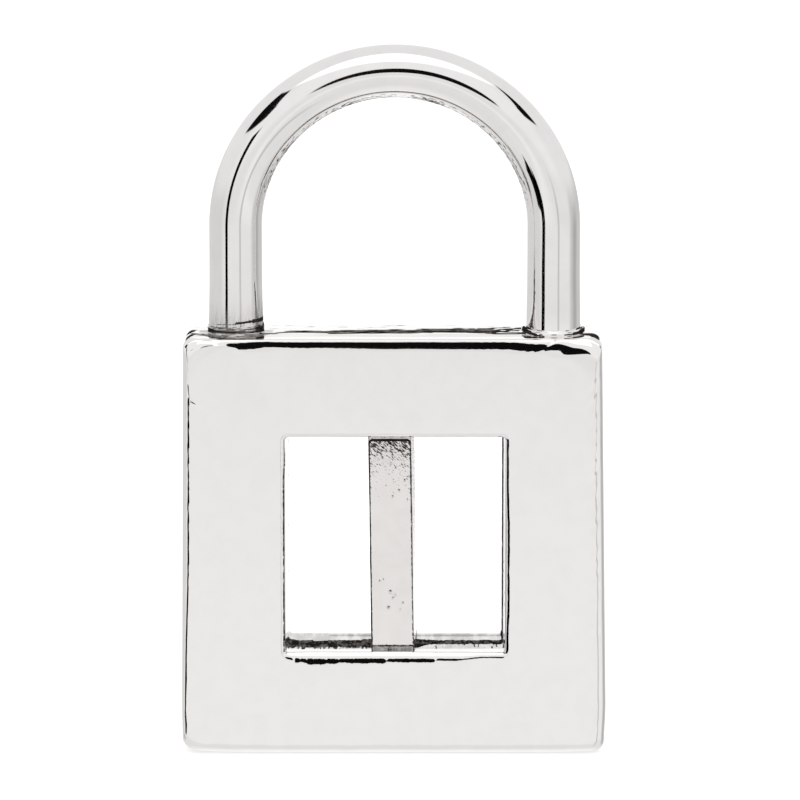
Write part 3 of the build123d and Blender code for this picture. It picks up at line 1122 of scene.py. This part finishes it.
@dataclass
class LegCollar:
    """A ring of metal round the foot of one leg: a short outline turned round it, with a height of its own.

    The outline is (millimetres out from the leg's middle, millimetres up from the lock, grime at rest). The
    azimuth is counted from the front, positive to the right, and a dark stroke lies in degrees of azimuth
    divided by 45 and millimetres up; on the right collar these strokes are painted shade of the crevice at
    its foot. The rise is the share by which the height leans and the azimuth that it leans to.
    """

    name: str
    centre_x: float
    outline: tuple[tuple[float, float, float], ...]
    wave: float
    rise: tuple[float, float]
    seed: int
    dark_strokes: tuple[DarkStroke, ...]
    haze_and_grey_reflection: float = 0.0
    top: float = LOCK_TOP
    girth_radius: float = 1.3 * MM
    stations: int = 200
    steps: int = 6
    smoothings: int = 3

    def build(self, material: bpy.types.Material) -> None:
        """Turns the outline round the leg.

        The height is the outline's times 1 plus a share of the cosine of the azimuth from one direction, and
        ripples along the ring move the metal out and up.

        Args:
            material: The collar's silver.
        """
        corners = np.array(self.outline)
        ring = np.concatenate([corners, corners[:1]])
        share = np.linspace(0.0, 1.0, self.steps, endpoint=False)[None, :, None]
        line = (ring[:-1, None] * (1.0 - share) + ring[1:, None] * share).reshape(-1, 3)
        for _ in range(self.smoothings):
            line = (np.roll(line, 1, 0) + 2.0 * line + np.roll(line, -1, 0)) / 4.0
        azimuth = np.linspace(-np.pi, np.pi, self.stations, endpoint=False)[:, None]
        out, up, dark_marks = line[None, :, 0] * MM, line[None, :, 1] * MM, line[None, :, 2]
        share_up, toward = self.rise
        run = azimuth * self.girth_radius
        layers = ripples(run * 0.6, up * 2.5, 0.35 * MM, self.seed, 30)
        lumps = ripples(run, up, 0.5 * MM, self.seed + 1, 30)
        above = np.clip(up, 0.0, None)
        height = above * (1.0 + share_up * np.cos(azimuth - toward))
        height = height + 0.35 * self.wave * lumps * above / (0.3 * MM)
        radius = out + self.wave * layers * smooth_step(up, -0.05 * MM, 0.05 * MM)
        x = self.centre_x + radius * np.sin(azimuth)
        y = -radius * np.cos(azimuth)
        z = self.top + np.where(up > 0.0, height, up)
        outside = line[None, :, 0] > self.outline[0][0] + 0.02
        # Dark strokes on the outer flank; on the right collar they are painted crevice shade at the collar's
        # foot.
        darkened = darkest(self.dark_strokes, azimuth / (math.pi / 4.0), (z - self.top) / MM)
        grime_and_shade = np.maximum(dark_marks, outside * darkened)
        haze_and_grey_reflection = self.haze_and_grey_reflection + 0.0 * grime_and_shade
        flow = np.stack([run + 0.0 * out, up + 0.0 * azimuth, out + 0.0 * azimuth], -1)
        collar = grid_object(self.name, np.stack([x, y, z], -1), grime_and_shade, haze_and_grey_reflection, flow, rows_close=True)
        finish_piece(collar, material, Skin.POLISHED, "lock_body")


@dataclass
class Studio:
    """The pale floor, the soft light all round with its few dark gaps, and the camera."""

    elevation: float = math.radians(11.5)
    distance: float = 300.0 * MM
    target: tuple[float, float, float] = (0.29 * MM, 0.0, 15.99 * MM)
    frame_width: float = 36.15 * MM
    sensor: float = 36.0
    floor_half: float = 4.0

    def camera(self) -> None:
        """A long lens in front of the lock, looking slightly down at it."""
        data = bpy.data.cameras.new("photo_camera")
        data.sensor_width = self.sensor
        data.lens = self.sensor * self.distance / self.frame_width
        data.clip_start, data.clip_end = 0.01, 20.0
        made = bpy.data.objects.new("photo_camera", data)
        bpy.context.scene.collection.objects.link(made)
        away = Vector((0.0, -math.cos(self.elevation), math.sin(self.elevation)))
        made.location = Vector(self.target) + away * self.distance
        made.rotation_euler = (math.pi / 2.0 - self.elevation, 0.0, 0.0)
        bpy.context.scene.camera = made

    @staticmethod
    def sheet(name: str, corners: list[tuple[float, float, float]], base: float,
              glow: float) -> bpy.types.Object:
        """A flat matt quad that glows by itself.

        Args:
            name: The object's name.
            corners: Its four corners in turn.
            base: How light its paper is, from 0 to 1.
            glow: The strength of its own light.

        Returns:
            The new object.
        """
        mesh = bpy.data.meshes.new(name)
        mesh.from_pydata(corners, [], [(0, 1, 2, 3)])
        made = bpy.data.objects.new(name, mesh)
        bpy.context.scene.collection.objects.link(made)
        material = bpy.data.materials.new(name + "_paper")
        material.use_nodes = True
        shader = next(n for n in material.node_tree.nodes if n.type == "BSDF_PRINCIPLED")
        shader.inputs["Base Color"].default_value = (base, base, base, 1.0)
        shader.inputs["Roughness"].default_value = 1.0
        shader.inputs["Specular IOR Level"].default_value = 0.0
        shader.inputs["Emission Color"].default_value = (1.0, 1.0, 1.0, 1.0)
        shader.inputs["Emission Strength"].default_value = glow
        mesh.materials.append(material)
        return made

    def floor(self) -> None:
        """A wide white surface under the lock, which the silver doesn't mirror."""
        half = self.floor_half
        corners = [(-half, -half, 0.0), (half, -half, 0.0), (half, half, 0.0), (-half, half, 0.0)]
        self.sheet("floor", corners, base=0.9, glow=0.42).visible_glossy = False

    def dark_stands(self) -> None:
        """Two narrow black uprights left of the camera, which only the silver's reflections show.

        Each runs in millimetres from one place on the ground to another and has a foot and a head height. The
        farther one lies behind the other as seen from the left leg, and beside it as seen from the right leg.
        """
        places = (("dark_stand", (-48.3, -43.2), (-40.3, -51.2), -15.6, 46.0),
                  ("far_dark_stand", (-97.0, -112.0), (-81.3, -112.0), -45.0, 62.4))
        for name, start, end, foot, head in places:
            corners = [(x * MM, y * MM, z * MM) for (x, y), z in
                       ((start, foot), (end, foot), (end, head), (start, head))]
            card = self.sheet(name, corners, base=0.0, glow=0.0)
            card.visible_camera = False
            card.visible_diffuse = False
            card.visible_shadow = False
            card.visible_transmission = False

    @staticmethod
    def tent(m: NodeMaths, azimuth: object, rise: object) -> bpy.types.NodeSocket:
        """How bright the tent is by direction, without its dark gaps.

        Wide soft steps tint the front, the sides, the upper half and the ground behind, and a softbox hangs
        high in front.

        Args:
            m: The world's nodes.
            azimuth: Degrees from the front, positive to the right.
            rise: Degrees above the horizon.

        Returns:
            The brightness.
        """
        around = m.op("ABSOLUTE", azimuth)
        front = m.mix(0.84, 0.925, m.band(rise, -15.0, 1.0, 6.0))
        level = m.mix(front, 0.73, m.ramp(azimuth, -70.0, -45.0, 1.0, 0.0))
        level = m.mix(level, 0.62, m.ramp(azimuth, 66.0, 84.0, 0.0, 1.0))
        trough = m.op("MULTIPLY", m.band(azimuth, 103.0, 5.0, 14.0), m.ramp(rise, 0.0, -10.0, 0.0, 1.0))
        level = m.mix(level, 0.46, trough)
        seam = m.op("MULTIPLY", m.band(azimuth, 20.0, 1.5, 4.0), m.ramp(rise, 0.0, -8.0, 0.0, 1.0))
        level = m.mix(level, 0.6, seam)
        upper = m.ramp(rise, -4.0, 8.0, 0.0, 1.0)
        level = m.mix(level, m.mix(0.86, 0.93, m.ramp(around, 70.0, 40.0, 0.0, 1.0)), upper)
        backdrop = m.op("MULTIPLY", m.ramp(around, 150.0, 168.0, 0.0, 1.0), m.band(rise, 0.0, 14.0, 10.0))
        level = m.mix(level, 1.08, backdrop)
        below = m.mix(m.ramp(rise, -50.0, -75.0, 0.82, 0.93), 1.05, m.ramp(around, 140.0, 160.0, 0.0, 1.0))
        level = m.mix(level, below, m.ramp(rise, -26.0, -45.0, 0.0, 1.0))
        softbox = m.op("MULTIPLY", m.ramp(around, 74.0, 62.0, 0.0, 1.0), m.band(rise, 68.0, 18.0, 4.0))
        return m.mix(level, 1.3, softbox)

    @staticmethod
    def dark_gaps(m: NodeMaths, azimuth: object, rise: object) -> bpy.types.NodeSocket:
        """Where the tent is black: an oval round the lens, two high wedges and a low patch on the left.

        Args:
            m: The world's nodes.
            azimuth: Degrees from the front, positive to the right.
            rise: Degrees above the horizon.

        Returns:
            1 in a gap and 0 outside it.
        """
        around = m.op("ABSOLUTE", azimuth)
        across = m.op("DIVIDE", m.op("SUBTRACT", azimuth, 1.7), 12.5)
        upward = m.op("DIVIDE", m.op("SUBTRACT", rise, 10.0), 8.5)
        oval_place = m.op("ADD", m.op("POWER", across, 2.0), m.op("POWER", upward, 2.0))
        oval = m.ramp(oval_place, 0.94, 1.06, 1.0, 0.0)
        right_side = m.ramp(azimuth, -1.0, 1.0, 0.0, 1.0)
        left_slope = m.ramp(around, 46.0, 66.0, 0.0, 14.2)
        right_slope = m.ramp(around, 50.0, 80.0, 0.0, 19.0)
        wedge_top = m.op("ADD", 31.0, m.mix(left_slope, right_slope, right_side))
        under = m.ramp(m.op("SUBTRACT", rise, wedge_top), -0.5, 1.0, 1.0, 0.0)
        over = m.ramp(m.op("SUBTRACT", rise, m.mix(25.0, 28.0, right_side)), 0.0, 1.5, 0.0, 1.0)
        reach = m.mix(m.band(around, 67.0, 19.0, 2.0), m.band(around, 66.5, 11.0, 1.5), right_side)
        wedge = m.op("MULTIPLY", m.op("MULTIPLY", under, over), reach)
        from_left = m.op("ADD", azimuth, m.ramp(rise, -14.5, -20.0, 51.0, 64.0))
        low_patch = m.op("MULTIPLY", m.ramp(from_left, -0.5, 0.5, 0.0, 1.0), m.band(rise, -23.5, 8.5, 1.0))
        low_patch = m.op("MULTIPLY", low_patch, m.ramp(azimuth, -51.0, -50.0, 1.0, 0.0))
        return m.op("MAXIMUM", m.op("MAXIMUM", oval, wedge), low_patch)

    def light(self) -> None:
        """Wraps the pendant in a bright tent that is painted by direction, with near black gaps."""
        world = bpy.data.worlds.new("soft_tent")
        bpy.context.scene.world = world
        world.use_nodes = True
        tree = world.node_tree
        tree.nodes.clear()
        m = NodeMaths(tree)
        split = m.node("ShaderNodeSeparateXYZ")
        m.feed(split.inputs[0], m.node("ShaderNodeTexCoord").outputs["Generated"])
        x, y, z = split.outputs
        to_degrees = 180.0 / math.pi
        azimuth = m.op("MULTIPLY", m.op("ARCTAN2", x, m.op("MULTIPLY", y, -1.0)), to_degrees)
        rise = m.op("MULTIPLY", m.op("ARCSINE", z), to_degrees)
        level = m.mix(self.tent(m, azimuth, rise), 0.004, self.dark_gaps(m, azimuth, rise))
        background = m.node("ShaderNodeBackground")
        background.inputs["Color"].default_value = (1.0, 0.997, 0.99, 1.0)
        m.feed(background.inputs["Strength"], level)
        output = m.node("ShaderNodeOutputWorld")
        m.feed(output.inputs["Surface"], background.outputs["Background"])

    def build(self) -> None:
        """Sets up the camera, the floor, the light and a plain view of the colours."""
        self.camera()
        self.floor()
        self.dark_stands()
        self.light()
        bpy.context.scene.view_settings.view_transform = "Standard"


RIGHT_COLLAR = LegCollar(
    name="right_leg_collar", centre_x=7.2 * MM,
    outline=(
        (1.22, -0.1, 0.0), (1.40, -0.1, 0.0), (1.44, 0.02, 0.0), (1.45, 0.10, 0.0), (1.42, 0.19, 0.0),
        (1.35, 0.24, 0.0), (1.22, 0.20, 0.0),
    ),
    wave=0.003 * MM, rise=(0.0, 0.0), seed=51,
    # Dark crescents on the outer flank: painted shade of the crevice where the collar meets the lock.
    dark_strokes=(
        DarkStroke(-2.05, 0.24, -1.70, 0.19, 0.030, 1.4), DarkStroke(-1.75, 0.19, -1.05, 0.12, 0.080, 1.4),
        DarkStroke(-1.10, 0.12, -0.75, 0.07, 0.055, 1.4), DarkStroke(-0.80, 0.07, -0.40, 0.03, 0.025, 1.3),
        DarkStroke(0.45, 0.09, 0.85, 0.10, 0.025, 1.3), DarkStroke(0.85, 0.10, 1.25, 0.12, 0.060, 1.4),
        DarkStroke(1.25, 0.12, 1.65, 0.16, 0.075, 1.4), DarkStroke(1.65, 0.17, 1.95, 0.21, 0.030, 1.4),
    ),
)
LEFT_COLLAR = LegCollar(
    name="left_leg_collar", centre_x=-7.1 * MM,
    outline=(
        (1.20, -0.1, 0.0), (1.265, -0.1, 0.0), (1.275, 0.05, 0.12), (1.270, 0.14, 0.48), (1.262, 0.24, 0.58),
        (1.245, 0.36, 0.50), (1.205, 0.44, 0.5),
    ),
    wave=0.022 * MM, rise=(0.15, math.radians(75.0)), seed=53,
    dark_strokes=(
        DarkStroke(-2.2, 0.12, -1.2, 0.17, 0.09, 1.15), DarkStroke(-1.2, 0.17, 0.0, 0.19, 0.060, 1.10),
        DarkStroke(0.0, 0.19, 1.1, 0.16, 0.050, 1.02), DarkStroke(1.1, 0.16, 2.2, 0.10, 0.060, 1.05),
        DarkStroke(-2.1, 0.32, -1.4, 0.30, 0.04, 0.80), DarkStroke(0.6, 0.28, 1.3, 0.33, 0.03, 0.85),
        DarkStroke(1.3, 0.30, 2.1, 0.28, 0.07, 0.90), DarkStroke(-0.4, 0.33, 0.8, 0.31, 0.03, 0.75),
    ),
    haze_and_grey_reflection=0.5,
)


def main() -> None:
    """Builds the studio and then each piece of the pendant in turn."""
    logging.basicConfig(level=logging.INFO, format="%(name)s: %(message)s")
    Studio().build()
    materials = {skin: finish.material() for skin, finish in FINISHES.items()}
    LockBody().build(materials[Skin.POLISHED])
    WindowBar().build(materials[Skin.CAST])
    Shackle().build(materials[Skin.WIRE])
    for collar in (LEFT_COLLAR, RIGHT_COLLAR):
        collar.build(materials[Skin.POLISHED])


if __name__ == "__main__":
    main()
